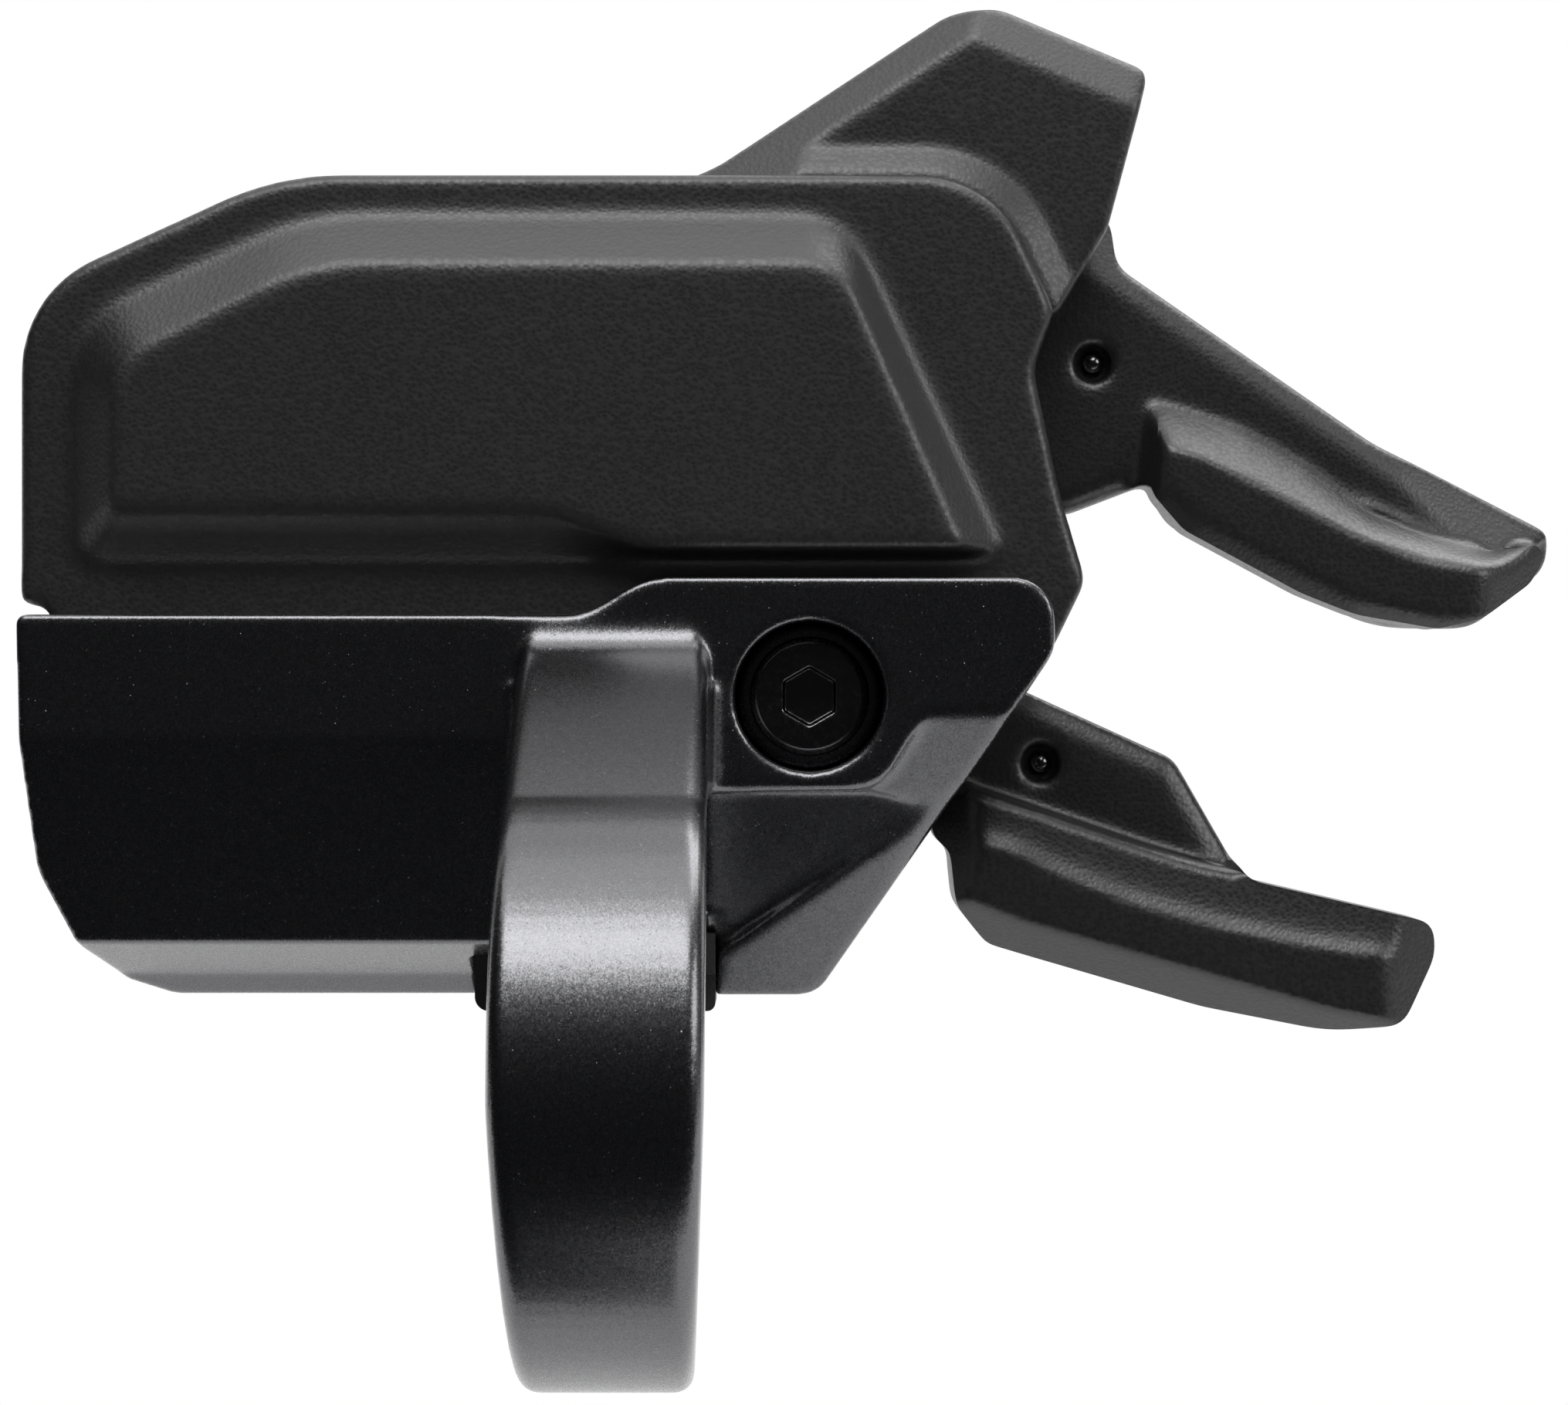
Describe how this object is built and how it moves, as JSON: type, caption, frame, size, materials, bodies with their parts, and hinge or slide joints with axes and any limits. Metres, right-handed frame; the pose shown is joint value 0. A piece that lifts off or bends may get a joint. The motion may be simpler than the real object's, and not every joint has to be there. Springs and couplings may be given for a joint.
{
  "type": "trigger gear shifter",
  "caption": "Handlebar trigger gear shifter: black moulded wireless unit on a painted clamp bracket, with thumb levers and an index finger paddle.",
  "frame": {"origin": "centre of the handlebar bore, in the middle of the clamp band's width", "axes": "+X along the handlebar towards the levers' tips, +Y from the front cover to the battery cover, +Z from the bar towards the housing"},
  "size_m": [0.0753, 0.0389, 0.0659],
  "materials": {
    "bracket_paint": "fine metallic dark grey paint",
    "black_steel": "black oxide, satin gloss",
    "black_block": "black, matt",
    "brass": "turned",
    "cover_plastic": "fine leather grain",
    "lever_plastic": "coarse grain, slight gloss",
    "board": "solder mask",
    "tin_plate": "tinned",
    "flex_film": "amber film",
    "switch_body": "moulded",
    "cell_steel": "bright rolled",
    "cap_plastic": "moulded",
    "seal_rubber": "smooth",
    "pin_steel": "ground",
    "spring_steel": "drawn wire",
    "arm_steel": "pressed, zinc plated"
  },
  "bodies": {
    "unit": {"clamp_bracket": "bracket_paint", "clamp_bolt": "black_steel", "clamp_nut": "black_block", "unit_bolt": "black_steel", "unit_nut": "brass", "front_cover": "cover_plastic", "rear_housing": "cover_plastic", "housing_screws": "black_steel", "circuit_board": "board", "radio_module": "tin_plate", "flex_circuit": "flex_film", "upper_switch": "switch_body", "lower_switch": "switch_body", "function_switch": "switch_body", "coin_cell": "cell_steel", "base_contact": "tin_plate", "side_contact": "tin_plate", "battery_cover": "cap_plastic", "battery_cover_seal": "seal_rubber", "upper_pivot_pin": "pin_steel", "lower_pivot_pin": "pin_steel", "function_pivot_pin": "pin_steel", "upper_return_spring": "spring_steel", "lower_return_spring": "spring_steel", "function_return_spring": "spring_steel"},
    "upper_lever": {"upper_lever_arm": "arm_steel", "upper_bush": "brass", "upper_thumb_paddle": "lever_plastic", "upper_paddle_screw": "black_steel"},
    "lower_lever": {"lower_lever_arm": "arm_steel", "lower_bush": "brass", "lower_thumb_paddle": "lever_plastic", "lower_paddle_screw": "black_steel"},
    "function_paddle_body": {"function_paddle": "cover_plastic"}
  },
  "joints": [
    {"name": "upper_lever_pivot", "type": "hinge", "parent": "unit", "child": "upper_lever", "pos_m": [0.0175, 0.018, 0.0346], "axis": [0, -1, 0], "range_deg": [0, 8], "stiffness_Nm_per_rad": 0.3, "springref_deg": -5.73},
    {"name": "lower_lever_pivot", "type": "hinge", "parent": "unit", "child": "lower_lever", "pos_m": [0.0134, 0.018, 0.0139], "axis": [0, -1, 0], "range_deg": [0, 8], "stiffness_Nm_per_rad": 0.3, "springref_deg": -5.73},
    {"name": "function_paddle_pivot", "type": "hinge", "parent": "unit", "child": "function_paddle_body", "pos_m": [0.005, 0.018, 0.0396], "axis": [0, -1, 0], "range_deg": [-3, 0], "stiffness_Nm_per_rad": 0.3, "springref_deg": 2.86}
  ]
}
